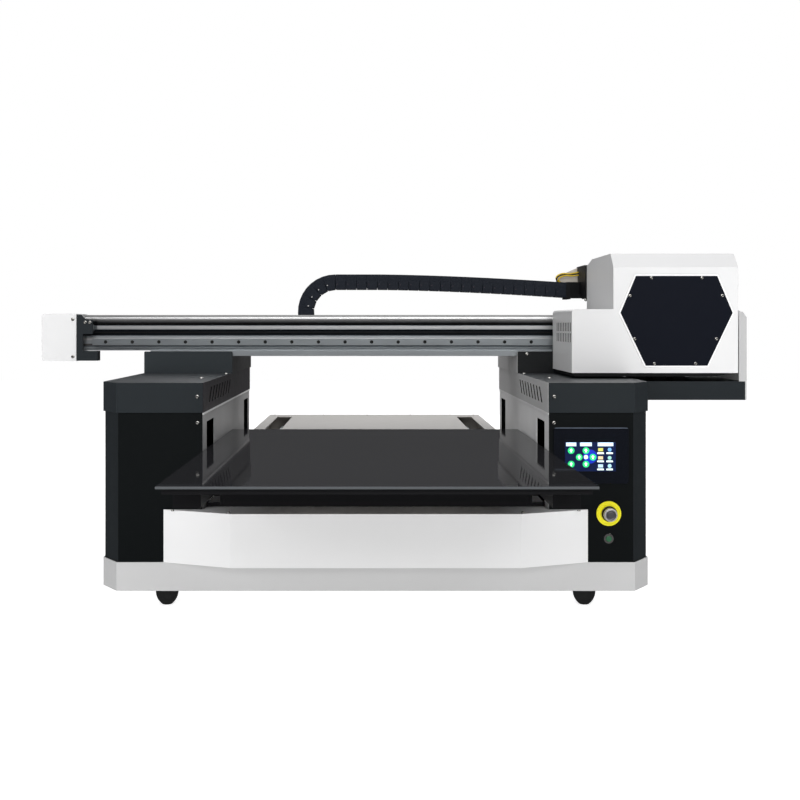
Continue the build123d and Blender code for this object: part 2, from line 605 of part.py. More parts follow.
# ---- bed lift ----
with BuildPart() as lift_frame:
    for y in ARM_Y:
        block(-ARM_END, ARM_END, y - 20, y + 20, 200, 222)
        block(-ARM_END + 60, ARM_END - 60, y - 17, y + 17, 203, 219, mode=Mode.SUBTRACT)
    for side in (-1, 1):
        x0, x1 = sorted((side * 218, side * 268))
        block(x0, x1, LIFT_FRONT, LIFT_REAR, 222, 243)
        block(x0 + 3, x1 - 3, LIFT_FRONT + 3, LIFT_REAR, 225, 240, mode=Mode.SUBTRACT)
    block(-218, 218, LIFT_FRONT, LIFT_FRONT + 35, 222, 238)
    block(-268, 268, 745, LIFT_REAR, 200, 222)
    block(-262, 262, LIFT_FRONT - 3, LIFT_FRONT, 222, 280.5)
    for x in (-14, 14):
        block(x - 3, x + 3, LIFT_FRONT, LIFT_FRONT + 34, 238, 272)
        block(x - 3, x + 3, 750, 780, 222, 272)
    rod((-30, BED_IDLER_Y, BED_PULLEY_Z), (1, 0, 0), 4 + GAP, 60, mode=Mode.SUBTRACT)
    rod((-30, BED_DRIVE_Y, BED_PULLEY_Z), (1, 0, 0), 4 + GAP, 60, mode=Mode.SUBTRACT)
write(lift_frame, "lift_frame")

SLOT_X, SLOT_END, WIDE_FROM = (224.0, 264.0), 739.0, 330.0
with BuildPart() as tray_cover:
    block(-220, 220, LIFT_FRONT - 3, 815, 280.5, 283)
    block(-290, 290, WIDE_FROM, 815, 280.5, 283)
    for side in (-1, 1):
        x0, x1 = sorted((side * 287.5, side * 290))
        block(x0, x1, WIDE_FROM, 815, 222, 283)
        x0, x1 = sorted((side * SLOT_X[0], side * SLOT_X[1]))
        block(x0, x1, WIDE_FROM - 1, SLOT_END, 280, 284, mode=Mode.SUBTRACT)
    block(-290, 290, LIFT_REAR, 815, 200, 283)
write(tray_cover, "tray_cover")

with BuildPart() as bed_rails:
    for side in (-1, 1):
        x = side * Y_RAIL_X
        block(x - 7.5, x + 7.5, -466, 735, 243, 258)
        for k in range(20):
            rod((x, -436 + RAIL_PITCH * k, 258), (0, 0, -1), 3.75, 5.3, mode=Mode.SUBTRACT)
write(bed_rails, "bed_rails")

with BuildPart() as lift_rods:
    for side in (-1, 1):
        for y in ARM_Y:
            rod((side * ROD_X, y, 45), UP, 9, 155)
write(lift_rods, "lift_rods")

with BuildPart() as bed_belt:
    middle = (-7.5, (BED_IDLER_Y + BED_DRIVE_Y) / 2, BED_PULLEY_Z)
    with BuildSketch(Plane(origin=middle, x_dir=(0, 1, 0), z_dir=(1, 0, 0))):
        SlotCenterToCenter(BED_DRIVE_Y - BED_IDLER_Y, 2 * (BED_PULLEY_R + 0.6))
        SlotCenterToCenter(BED_DRIVE_Y - BED_IDLER_Y, 2 * (BED_PULLEY_R - 0.6), mode=Mode.SUBTRACT)
    extrude(amount=15)
write(bed_belt, "bed_belt")

for label, y in (("bed_idler_pulley", BED_IDLER_Y), ("bed_drive_pulley", BED_DRIVE_Y)):
    with BuildPart() as pulley:
        flanged_pulley((0, y, BED_PULLEY_Z), (1, 0, 0), BED_PULLEY_R - 1.1, 15.6)
        rod((-19, y, BED_PULLEY_Z), (1, 0, 0), 4, 38 if y < 0 else 60)
        rod((-10, y + 7, BED_PULLEY_Z), (1, 0, 0), 1.5, 20, mode=Mode.SUBTRACT)
    write(pulley, label)

with BuildPart() as bed_motor:
    block(20, 25, BED_DRIVE_Y - 28, BED_DRIVE_Y + 28, 222, 280)
    block(25, 95, BED_DRIVE_Y - 28, BED_DRIVE_Y + 28, 226, 280)
    rod((19, BED_DRIVE_Y, BED_PULLEY_Z), (1, 0, 0), 4 + GAP, 30, mode=Mode.SUBTRACT)
write(bed_motor, "bed_motor")

# ---- bed ----
with BuildPart() as bed_plate:
    block(-BED_X + 8, BED_X - 8, BED_FRONT + 9, BED_REAR - 9, PLATE_BOTTOM, GLASS_BOTTOM)
write(bed_plate, "bed_plate")

with BuildPart() as bed_glass:
    block(-BED_X, BED_X, BED_FRONT, BED_REAR, GLASS_BOTTOM, GLASS_TOP)
    chamfer(bed_glass.faces().sort_by(Axis.Z)[-1].edges(), 0.8)
write(bed_glass, "bed_glass")

with BuildPart() as bed_bars:
    for side in (-1, 1):
        x = side * 285
        block(x - 21, x + 21, -729, -529, 257, 277)
        block(x - 14, x + 14, -727, -531, 277, PLATE_BOTTOM)
write(bed_bars, "bed_bars")

with BuildPart() as bed_bearing_blocks:
    for side in (-1, 1):
        for y in BED_BLOCKS_Y:
            x = side * Y_RAIL_X
            block(x - 17, x + 17, y - 30, y + 30, 247, 275)
            block(x - 13, x + 13, y - 28, y + 28, 275, PLATE_BOTTOM)
            block(x - 7.8, x + 7.8, y - 31, y + 31, 246, 258 + GAP, mode=Mode.SUBTRACT)
write(bed_bearing_blocks, "bed_bearing_blocks")

YOKE_Y = BED_BLOCKS_Y[1]
with BuildPart() as bed_yoke:
    block(-226, 226, YOKE_Y - 28, YOKE_Y + 28, 268.4, 275)
    block(-14, 14, YOKE_Y - 28, YOKE_Y + 28, 260, 268.4)
    block(-8, 8, YOKE_Y - 29, YOKE_Y + 29, 265.8, 268.2, mode=Mode.SUBTRACT)
write(bed_yoke, "bed_yoke")

# ---- controls ----
with BuildPart() as touch_screen:
    block(*SCREEN_X, CABINET_FACE - 4, CABINET_FACE, *SCREEN_Z)
    fillet(touch_screen.edges().filter_by(Axis.Y), 5)
    block(SCREEN_X[0] + 9, SCREEN_X[1] - 9, CABINET_FACE, CABINET_FACE + 25, 245, 331)
write(touch_screen, "touch_screen")

with BuildPart() as estop_collar:
    x, y, z = ESTOP
    rod((x, y, z), FRONT, 23, 3)
    rod((x, y - 3, z), FRONT, 14, 7)
    rod((x, y, z), (0, 1, 0), 11, 24)
    rod((x, y - 12, z), (0, 1, 0), 6 + GAP, 30, mode=Mode.SUBTRACT)
write(estop_collar, "estop_collar")

with BuildPart() as estop_button:
    rod((x, y - 15, z), FRONT, 12.5, 9)
    fillet(estop_button.edges().group_by(Axis.Y)[0], 2.5)
    rod((x, y - 15, z), (0, 1, 0), 6, 26)
write(estop_button, "estop_button")

with BuildPart() as power_bezel:
    x, y, z = POWER
    rod((x, y, z), FRONT, 9, 2.5)
    rod((x, y, z), (0, 1, 0), 7, 20)
    rod((x, y - 3, z), (0, 1, 0), 5.5 + GAP, 19, mode=Mode.SUBTRACT)
write(power_bezel, "power_bezel")

with BuildPart() as power_button:
    rod((x, y - 4.5, z), (0, 1, 0), 5.5, 16)
    fillet(power_button.edges().group_by(Axis.Y)[0], 1)
write(power_button, "power_button")

with BuildPart() as power_inlet:
    block(-471.5, -424.5, 555, BASE_REAR, 108.5, 135.5)
    block(-475, -421, BASE_REAR, BASE_REAR + 2, 105, 139)
    block(-464, -432, 560, BASE_REAR + 3, 113, 131, mode=Mode.SUBTRACT)
    for x in (-456, -448, -440):
        block(x - 1, x + 1, 560, 569, 119, 125)
write(power_inlet, "power_inlet")

# ---- screws of the covers ----
with BuildPart() as panel_screws:
    for side in (-1, 1):
        for site in (CABINET_SCREW, CAP_SCREW):
            screw(mirrored(site, side), FRONT)
        for site in CAP_TOP_SCREWS:
            screw(mirrored(site, side), UP)
    for site in [RISER_SCREW] + END_COVER_SCREWS + BRACKET_SCREWS:
        screw(site, FRONT)
write(panel_screws, "panel_screws")
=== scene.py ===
"""Flatbed UV printer: the looks. Metres, in the CAD's own frame: +X right, -Y front, +Z up."""
import bmesh
import bpy
from math import cos, pi, sin
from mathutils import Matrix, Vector

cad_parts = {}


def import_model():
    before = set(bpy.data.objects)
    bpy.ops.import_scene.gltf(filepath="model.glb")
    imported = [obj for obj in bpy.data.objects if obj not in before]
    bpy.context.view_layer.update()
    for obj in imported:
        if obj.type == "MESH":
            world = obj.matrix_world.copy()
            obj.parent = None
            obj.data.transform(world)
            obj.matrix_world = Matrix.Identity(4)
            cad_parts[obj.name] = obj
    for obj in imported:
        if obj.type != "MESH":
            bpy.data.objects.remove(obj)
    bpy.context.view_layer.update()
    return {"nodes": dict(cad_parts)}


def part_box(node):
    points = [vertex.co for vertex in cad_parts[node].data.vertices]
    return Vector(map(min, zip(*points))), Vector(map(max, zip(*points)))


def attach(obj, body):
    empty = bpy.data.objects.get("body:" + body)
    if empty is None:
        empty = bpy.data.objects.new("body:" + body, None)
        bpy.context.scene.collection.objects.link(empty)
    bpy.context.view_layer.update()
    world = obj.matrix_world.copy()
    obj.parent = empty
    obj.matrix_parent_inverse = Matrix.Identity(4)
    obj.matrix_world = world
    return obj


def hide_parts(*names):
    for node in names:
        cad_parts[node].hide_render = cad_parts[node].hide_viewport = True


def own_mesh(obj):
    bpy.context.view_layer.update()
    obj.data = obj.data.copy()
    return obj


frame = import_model()
NODES = frame["nodes"]
MM = 0.001


# ---- camera, as the photograph was taken: level, in front, a little above the bed ----
def make_camera():
    data = bpy.data.cameras.new("camera")
    data.lens = 54
    data.sensor_width = 36
    data.shift_x = 0.0359
    data.shift_y = -0.0925
    camera = bpy.data.objects.new("camera", data)
    camera.location = (-0.0083, -2.529, 0.530)
    camera.rotation_euler = (pi / 2, 0, 0)
    bpy.context.scene.collection.objects.link(camera)
    bpy.context.scene.camera = camera


make_camera()
bpy.context.scene.view_settings.view_transform = "Standard"


# ---- materials ----
class Surface:
    """A Principled material: mottled colour, fine grain in roughness and bump, rounded and worn edges."""

    def __init__(self, name, colour, rough=0.4, metal=0.0, level=0.5, mottle=0.06, mottle_size=0.2,
                 grain=0.15, grain_size=0.0015, stretch=(1, 1, 1), edge=0.8, wear=0.3, rough_spread=0.06):
        self.material = bpy.data.materials.new(name)
        self.material.use_nodes = True
        self.tree = self.material.node_tree
        self.shader = self.tree.nodes["Principled BSDF"]
        self.shader.inputs["Metallic"].default_value = metal
        self.shader.inputs["Specular IOR Level"].default_value = level
        self.where = self.node("ShaderNodeTexCoord").outputs["Object"]
        mapping = self.node("ShaderNodeMapping")
        mapping.inputs["Scale"].default_value = stretch
        self.link(self.where, mapping.inputs["Vector"])
        self.vector = mapping.outputs["Vector"]

        broad = self.noise(1 / mottle_size, 4)
        fine = self.noise(1 / grain_size, 2)
        dark = [c * (1 - mottle) for c in colour]
        light = [min(1, c * (1 + mottle)) for c in colour]
        self.colour = self.mix(broad, dark, light)

        rounded = self.node("ShaderNodeBevel")
        rounded.samples = 4
        rounded.inputs["Radius"].default_value = edge * MM
        if wear:
            self.wear(rounded.outputs["Normal"], [min(1, c * 1.5 + 0.03) for c in colour], wear)
        self.paint()

        spread = self.node("ShaderNodeMapRange")
        spread.inputs["To Min"].default_value = max(0.02, rough - rough_spread)
        spread.inputs["To Max"].default_value = min(1, rough + rough_spread)
        self.link(self.noise(9 / mottle_size, 5), spread.inputs["Value"])
        self.link(spread.outputs["Result"], self.shader.inputs["Roughness"])

        self.bump = self.node("ShaderNodeBump")
        self.bump.inputs["Strength"].default_value = grain
        self.bump.inputs["Distance"].default_value = 0.0003
        self.link(fine, self.bump.inputs["Height"])
        self.link(rounded.outputs["Normal"], self.bump.inputs["Normal"])
        self.link(self.bump.outputs["Normal"], self.shader.inputs["Normal"])

    def node(self, kind):
        return self.tree.nodes.new(kind)

    def link(self, out, into):
        self.tree.links.new(out, into)

    def noise(self, scale, detail):
        noise = self.node("ShaderNodeTexNoise")
        noise.inputs["Scale"].default_value = scale
        noise.inputs["Detail"].default_value = detail
        self.link(self.vector, noise.inputs["Vector"])
        return noise.outputs["Fac"]

    def math(self, operation, a, b):
        node = self.node("ShaderNodeMath")
        node.operation = operation
        for socket, value in zip(node.inputs, (a, b)):
            if isinstance(value, (int, float)):
                socket.default_value = value
            else:
                self.link(value, socket)
        return node.outputs[0]

    def mix(self, factor, first, second):
        mix = self.node("ShaderNodeMix")
        mix.data_type = "RGBA"
        self.link(factor, mix.inputs[0])
        for socket, value in ((mix.inputs[6], first), (mix.inputs[7], second)):
            if isinstance(value, (list, tuple)):
                socket.default_value = (*value, 1)
            else:
                self.link(value, socket)
        return mix.outputs[2]

    def wear(self, rounded, colour, amount):
        """Lightens the edges, where the rounded normal leaves the true one."""
        flat = self.node("ShaderNodeNewGeometry").outputs["True Normal"]
        dot = self.node("ShaderNodeVectorMath")
        dot.operation = "DOT_PRODUCT"
        self.link(rounded, dot.inputs[0])
        self.link(flat, dot.inputs[1])
        turned = self.math("SUBTRACT", 1, dot.outputs["Value"])
        factor = self.math("MULTIPLY", turned, amount * 6)
        clamped = self.math("MINIMUM", factor, amount)
        self.colour = self.mix(clamped, self.colour, colour)

    def paint(self):
        self.link(self.colour, self.shader.inputs["Base Color"])

    def recolour(self, axis, limit, colour, above=True):
        """Another colour where the coordinate on an axis is above, or below, a limit in millimetres."""
        split = self.node("ShaderNodeSeparateXYZ")
        self.link(self.where, split.inputs[0])
        test = "GREATER_THAN" if above else "LESS_THAN"
        mask = self.math(test, split.outputs["XYZ".index(axis)], limit * MM)
        self.colour = self.mix(mask, self.colour, colour)
        self.paint()
        return self

    def recolour_box(self, low, high, colour):
        """Another colour between two corners, in millimetres; None leaves an axis free."""
        split = self.node("ShaderNodeSeparateXYZ")
        self.link(self.where, split.inputs[0])
        mask = None
        for axis in range(3):
            for limit, test in ((low[axis], "GREATER_THAN"), (high[axis], "LESS_THAN")):
                if limit is None:
                    continue
                inside = self.math(test, split.outputs[axis], limit * MM)
                mask = inside if mask is None else self.math("MULTIPLY", mask, inside)
        self.colour = self.mix(mask, self.colour, colour)
        self.paint()
        return self

    def glow(self, colour, strength):
        self.shader.inputs["Emission Color"].default_value = (*colour, 1)
        self.shader.inputs["Emission Strength"].default_value = strength
        return self


def grey(value):
    return (value, value, value)


BLACK = Surface("black_paint", (0.0030, 0.0042, 0.0046), rough=0.42, level=0.15)
# painted light: the cabinets' outermost faces forward of Y -236.5 are painted a paler black, a painted
# highlight for the light falling on both sides
for low_x, high_x in ((None, -481.5), (481.5, None)):
    BLACK.recolour_box((low_x, None, None), (high_x, -236.5, None), (0.012, 0.015, 0.017))
SLATE = Surface("slate_paint", (0.014, 0.018, 0.021), rough=0.4, level=0.25)
WHITE = Surface("white_paint", grey(0.70), rough=0.38, wear=0.1, mottle=0.02)
COVER = Surface("cover_paint", grey(0.71), rough=0.38, wear=0.1, mottle=0.02)
# painted shade: the carriage cover's inner surfaces between X 397 and 481, behind its front, are painted near
# black
COVER.recolour_box((397.15, -102.4, None), (480.6, 148, 557.5), grey(0.004))
BASE_GREY = Surface("base_grey_paint", grey(0.46), rough=0.4, wear=0.15, mottle=0.03)
END_GREY = Surface("end_grey_paint", grey(0.46), rough=0.45, wear=0.15, mottle=0.03)
# painted light: the right end wall's inner face behind its front flange is painted much paler, standing in
# for light the carriage blocks
END_GREY.recolour_box((None, -102.6, None), (747.3, None, None), grey(0.90))
# The inner panels are one grey paint: the right panel's paler albedo is painted light and the left panel's
# darker albedo is painted shade
PANEL_PAINTED_LIT = Surface("panel_lit_painted", grey(0.85), rough=0.4, mottle=0.12, mottle_size=0.12)
PANEL_PAINTED_SHADE = Surface("panel_shade_painted", grey(0.42), rough=0.4, mottle=0.12, mottle_size=0.12)
FRAME = Surface("frame_black", (0.005, 0.005, 0.006), rough=0.5, level=0.2)
HEX = Surface("hex_paint", (0.004, 0.0055, 0.011), rough=0.5, level=0.12, grain=0.4, grain_size=0.0009)
ALU = Surface("extruded_alu", (0.46, 0.49, 0.51), rough=0.38, metal=1.0, stretch=(0.02, 1, 1),
              mottle_size=0.006, mottle=0.12, grain=0.25, grain_size=0.0012, edge=0.4)
# painted highlight and shade bands along the beam's front, from low to high: bottom, top, tone
BEAM_PAINTED_LIGHT_BANDS = ((485, 490, 0.15), (498, 504, 0.6), (524, 530, 0.7), (538.8, 543, 0.25), (543, 549.5, 0.9),
              (549.5, 556, 0.25))
for low_z, high_z, tone in BEAM_PAINTED_LIGHT_BANDS:
    ALU.recolour_box((None, None, low_z), (None, 196.5, high_z), grey(tone))
# painted shade: the insides of the beam's two grooves are painted near black
ALU.recolour_box((None, 193.6, 507.9), (None, 210, 522.1), (0.03, 0.035, 0.04))
ALU.recolour_box((None, 193.6, 530.9), (None, 210, 538.6), (0.03, 0.032, 0.035))
PLATE = Surface("milled_alu", (0.60, 0.60, 0.60), rough=0.35, metal=1.0, stretch=(1, 0.05, 1),
                mottle_size=0.01, grain=0.2, edge=0.4)
TRAY = Surface("tray_grey", (0.38, 0.36, 0.335), rough=0.45, mottle=0.05, wear=0.4)
STEEL = Surface("ground_steel", (0.52, 0.56, 0.58), rough=0.3, metal=1.0, mottle=0.02, wear=0, grain=0.05,
                edge=0.4)
CHROME = Surface("screw_chrome", (0.72, 0.71, 0.67), rough=0.16, metal=1.0, grain=0.05, edge=0.15, wear=0)
RUBBER = Surface("foot_rubber", (0.010, 0.010, 0.010), rough=0.6, level=0.35, grain=0.5, grain_size=0.002)
BELT = Surface("belt_rubber", (0.012, 0.012, 0.012), rough=0.7, level=0.3, grain=0.5)
MOTOR = Surface("motor_black", (0.015, 0.015, 0.016), rough=0.45, stretch=(1, 0.1, 1))
CHAIN = Surface("chain_plastic", (0.007, 0.010, 0.017), rough=0.42, level=0.2, grain=0.35, edge=0.3)
PLASTIC = Surface("screen_plastic", (0.004, 0.005, 0.008), rough=0.12, level=0.3, grain=0.03, edge=0.6)
# painted highlight: a paler strip along the top edge of the screen bezel, above z 339
PLASTIC.recolour("Z", 339.0, (0.09, 0.11, 0.14))
YELLOW = Surface("yellow_plastic", (0.80, 0.73, 0.008), rough=0.3, grain=0.1, edge=0.4, wear=0.1)
TURNED = Surface("turned_metal", (0.55, 0.54, 0.53), rough=0.36, metal=0.55, grain=0.1, edge=0.3)
DARK_METAL = Surface("dark_metal", (0.05, 0.04, 0.05), rough=0.3, metal=0.8, grain=0.1, edge=0.3)
GREEN = Surface("lamp_green", (0.03, 0.10, 0.05), rough=0.15, grain=0.05, edge=0.3)
HEADS = Surface("head_metal", (0.25, 0.25, 0.26), rough=0.35, metal=0.9, stretch=(1, 1, 0.1))


def glass_top():
    """Coated bed glass: a dark sheet with a soft gloss, and pale edges, partly ground glass and partly a
    painted highlight.
    """
    glass = Surface("bed_glass", (0.021, 0.021, 0.023), rough=0.045, level=0.5, mottle=0.05, mottle_size=0.5,
                    grain=0.01, edge=0.3, wear=0, rough_spread=0.02)
    glass.shader.inputs["IOR"].default_value = 1.1
    # partly painted highlight: the front and side edges are paler, for the ground glass and for the highlight
    # line along them; below z 297 the colour goes dark again
    glass.recolour("Y", -814.6, (0.075, 0.08, 0.085), above=False)
    glass.recolour("X", -317.1, (0.10, 0.105, 0.11), above=False)
    glass.recolour("X", 317.1, (0.10, 0.105, 0.11))
    glass.recolour("Z", 297.0, (0.02, 0.022, 0.022), above=False)
    return glass


GLASS = glass_top()

# The caps and risers are lit and shaded copies of one paint: pale right inner sides are painted light and
# dark left inner sides painted shade, so each takes a material of its own.
RIGHT_CAP = Surface("right_cap_paint", (0.014, 0.018, 0.021), rough=0.4, level=0.25)
# painted reflection: the cap's top above z 423.8 is painted paler than its front
RIGHT_CAP.recolour("Z", 423.8, (0.034, 0.038, 0.042))
# painted light: the cap's inner side is painted pale grey
RIGHT_CAP.recolour("X", 322.4, grey(0.55), above=False)
# painted shade: the cap's inner surfaces and slot walls below its top are painted near black
RIGHT_CAP.recolour_box((322.15, -288, None), (482, 560, 422.5), grey(0.004))
RIGHT_RISER = Surface("right_riser_paint", (0.006, 0.007, 0.008), rough=0.4, level=0.3)
# painted light: the riser's inner side is painted pale grey
RIGHT_RISER.recolour("X", 319.4, grey(0.55), above=False)
LEFT_CAP = Surface("left_cap_paint", (0.014, 0.018, 0.021), rough=0.4, level=0.25)
# painted reflection: the cap's top above z 423.8 is painted paler than its front
LEFT_CAP.recolour("Z", 423.8, (0.034, 0.038, 0.042))
# painted shade: the cap's inner side is painted darker
LEFT_CAP.recolour("X", -322.4, (0.014, 0.011, 0.014))
# painted shade: the cap's inner surfaces and slot walls below its top are painted near black
LEFT_CAP.recolour_box((-482, -288, None), (-322.15, 560, 422.5), grey(0.002))
LEFT_RISER = Surface("left_riser_paint", (0.022, 0.028, 0.032), rough=0.4, level=0.3)
# painted shade: the riser's inner side is painted darker
LEFT_RISER.recolour("X", -319.4, (0.016, 0.016, 0.015))

FINISH = {
    BASE_GREY: ["base_pan"],
    WHITE: ["front_cover", "left_end_cover"],
    COVER: ["carriage_cover"],
    BLACK: ["left_cabinet", "right_cabinet"],
    SLATE: ["right_shelf", "idler_bracket"],
    LEFT_CAP: ["left_cap"],
    RIGHT_CAP: ["right_cap"],
    LEFT_RISER: ["left_riser"],
    RIGHT_RISER: ["right_riser"],
    PANEL_PAINTED_SHADE: ["left_inner_panel"],
    PANEL_PAINTED_LIT: ["right_inner_panel"],
    END_GREY: ["right_end_cover"],
    FRAME: ["bed_plate", "chassis_frame", "lift_frame", "bed_bars", "chain_trough", "chain_arm",
            "carriage_base_plate", "junction_box", "bed_yoke", "capping_unit"],
    HEX: ["hex_plate"],
    ALU: ["gantry_beam", "beam_base_plate"],
    PLATE: ["carriage_back_plate"],
    TRAY: ["tray_cover"],
    STEEL: ["x_rail", "bed_rails", "x_bearing_blocks", "bed_bearing_blocks", "lift_rods",
            "x_drive_pulley", "x_idler_pulley", "bed_drive_pulley", "bed_idler_pulley"],
    CHROME: ["power_bezel", "x_rail_screws"],
    RUBBER: ["feet"],
    BELT: ["x_belt", "bed_belt"],
    MOTOR: ["x_motor", "bed_motor", "lift_actuators", "uv_lamps"],
    HEADS: ["print_heads"],
    PLASTIC: ["touch_screen", "power_inlet"],
    GLASS: ["bed_glass"],
    YELLOW: ["estop_collar"],
    TURNED: ["estop_button"],
    GREEN: ["power_button"],
}
for surface, names in FINISH.items():
    for name in names:
        slots = NODES[name].data.materials
        for index in range(len(slots)):
            slots[index] = surface.material


# ---- mesh building ----
class Shape:
    """Vertices and faces, gathered in millimetres."""

    def __init__(self):
        self.verts = []
        self.faces = []

    def ring(self, points):
        start = len(self.verts)
        self.verts.extend(points)
        return list(range(start, len(self.verts)))

    def join(self, a, b):
        count = len(a)
        for i in range(count):
            self.faces.append((a[i], a[(i + 1) % count], b[(i + 1) % count], b[i]))

    def cap(self, ring, flip=False):
        self.faces.append(tuple(reversed(ring)) if flip else tuple(ring))

    def prism(self, outline, low, high, place):
        """outline's (u, v) points between two levels w; place(u, v, w) gives x, y, z."""
        bottom = self.ring([place(u, v, low) for u, v in outline])
        top = self.ring([place(u, v, high) for u, v in outline])
        self.join(bottom, top)
        self.cap(bottom, flip=True)
        self.cap(top)

    def lathe(self, profile, centre, axis, sides=32, socket=0, bored=False):
        """profile's (radius, height) points turned about an axis; the last `socket` rings are hexagons.
        A bored shape closes onto its first ring, which leaves a hole through it."""
        axis = Vector(axis)
        across = axis.orthogonal().normalized()
        third = axis.cross(across)
        rings = []
        for number, (radius, height) in enumerate(profile):
            hexed = number >= len(profile) - socket
            points = []
            for i in range(sides):
                turn = 2 * pi * i / sides
                reach = radius
                if hexed:
                    reach = radius * cos(pi / 6) / cos((turn % (pi / 3)) - pi / 6)
                point = Vector(centre) + axis * height + across * reach * cos(turn)
                point = point + third * reach * sin(turn)
                points.append(tuple(point))
            rings.append(self.ring(points))
        for a, b in zip(rings, rings[1:]):
            self.join(a, b)
        if bored:
            self.join(rings[-1], rings[0])
            return
        self.cap(rings[0], flip=True)
        self.cap(rings[-1])


def piece(name, shape, surface, body, bevel=0.0):
    mesh = bpy.data.meshes.new(name)
    mesh.from_pydata([[c * MM for c in v] for v in shape.verts], [], shape.faces)
    mesh.validate()
    made = bpy.data.objects.new(name, mesh)
    bpy.context.scene.collection.objects.link(made)
    tidy_normals(made)
    mesh.materials.append(surface.material)
    for polygon in mesh.polygons:
        polygon.use_smooth = True
    mesh.set_sharp_from_angle(angle=0.6)
    if bevel:
        modifier = made.modifiers.new("edge", "BEVEL")
        modifier.width = bevel * MM
        modifier.segments = 2
        modifier.limit_method = "ANGLE"
        modifier.angle_limit = 0.7
    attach(made, body)
    return made


def tidy_normals(made):
    work = bmesh.new()
    work.from_mesh(made.data)
    bmesh.ops.recalc_face_normals(work, faces=work.faces)
    work.to_mesh(made.data)
    work.free()


def front_place(u, v, w):
    """u to the right, v up, w out of the front."""
    return (u, -w, v)


def rectangle(u0, u1, v0, v1):
    return [(u0, v0), (u1, v0), (u1, v1), (u0, v1)]


def disc(u, v, radius, sides=28):
    turns = [2 * pi * i / sides for i in range(sides)]
    return [(u + radius * cos(turn), v + radius * sin(turn)) for turn in turns]


def corners(name):
    """A CAD node's box in millimetres."""
    low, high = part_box(name)
    return [c / MM for c in low], [c / MM for c in high]


# ---- cable chain ----
LINK = 25.0
(BEND_LOW, BEND_HIGH) = corners("chain_bend")
(RUN_LOW, RUN_HIGH) = corners("chain_upper_run")
CHAIN_DEEP = 35.0
OUTER_R = (BEND_HIGH[2] - BEND_LOW[2]) / 2
BEND_Z = (BEND_HIGH[2] + BEND_LOW[2]) / 2
BEND_X = BEND_LOW[0] + OUTER_R
NEUTRAL_R = OUTER_R - CHAIN_DEEP / 2
LOWER_LENGTH = BEND_HIGH[0] - BEND_X
BEND_LENGTH = pi * NEUTRAL_R


def along_bend(s, n, y):
    """A point s along the neutral line from the lower run's right end, and n out from the inner side."""
    if s <= LOWER_LENGTH:
        return (BEND_HIGH[0] - s, y, BEND_LOW[2] + CHAIN_DEEP - n)
    turn = min(s - LOWER_LENGTH, BEND_LENGTH) / NEUTRAL_R
    over = max(0, s - LOWER_LENGTH - BEND_LENGTH)
    radius = OUTER_R - CHAIN_DEEP + n
    return (BEND_X - radius * sin(turn) + over, y, BEND_Z - radius * cos(turn))


def along_run(s, n, y):
    x = RUN_LOW[0] + s
    fall = 19 * max(0, x / RUN_HIGH[0]) ** 1.6
    return (x, y, RUN_HIGH[2] - fall - (CHAIN_DEEP - n))


def chain_links(name, place, length, body, replaced, pin=DARK_METAL):
    shape = Shape()
    pins = Shape()
    cables = Shape()
    y_front, y_back = BEND_LOW[1], BEND_HIGH[1]
    count = round(length / LINK)
    pitch = length / count
    half = pitch / 2
    side = [(-half, CHAIN_DEEP), (0, CHAIN_DEEP), (half, CHAIN_DEEP), (half, 19),
            (half - 0.5, 18), (half - 0.5, 0.5), (half - 0.9, 0), (0.9 - half, 0),
            (0.5 - half, 0.5), (0.5 - half, 18), (-half, 19)]
    window = [(-half + 5, 22), (half - 5, 22), (half - 5, 30), (-half + 5, 30)]
    for k in range(count):
        middle = (k + 0.5) * pitch

        def spot(u, v, w, middle=middle):
            return place(middle + u, v, w)

        step = 0.6 if k % 2 else 0
        shape.prism(side, y_front + step, y_front + 4, spot)
        shape.prism(side, y_back - 4, y_back - step, spot)
        shape.prism(window, y_front + step - 0.3, y_front + 4, spot)
        shape.prism(rectangle(-8, 8, CHAIN_DEEP - 2.5, CHAIN_DEEP - 0.3), y_front + 4, y_back - 4, spot)
        shape.prism(rectangle(-7, 7, 0.3, 2.5), y_front + 4, y_back - 4, spot)
        cables.prism(rectangle(-half, half, 4, CHAIN_DEEP - 4), y_front + 7, y_back - 7, spot)
        pins.prism(disc(4.5 - half, 12, 1.5, 12), y_front - 0.3, y_front + 1, spot)
    links = piece(name, shape, CHAIN, body, bevel=0.5)
    dots = piece(name + "_pins", pins, pin, body)
    inside = piece(name + "_cables", cables, BELT, body)
    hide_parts(replaced)
    return links, dots, inside


chain_links("chain_bend_links", along_bend, LOWER_LENGTH + BEND_LENGTH, "chain", "chain_bend", pin=TURNED)
RUN_LENGTH = RUN_HIGH[0] - RUN_LOW[0]
upper = chain_links("chain_upper_links", along_run, RUN_LENGTH, "carriage", "chain_upper_run")
for made in upper:
    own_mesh(made)


# ---- screws: button heads with hexagon sockets ----
def screw_heads(name, sites, radius, height, body, replaced):
    shape = Shape()
    for site, axis in sites:
        profile = [(radius, 0), (radius * 0.98, height * 0.35), (radius * 0.82, height * 0.75),
                   (radius * 0.55, height), (radius * 0.5, height), (radius * 0.46, height * 0.35)]
        shape.lathe(profile, site, axis, sides=36, socket=2)
    made = piece(name, shape, CHROME, body)
    if replaced:
        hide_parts(replaced)


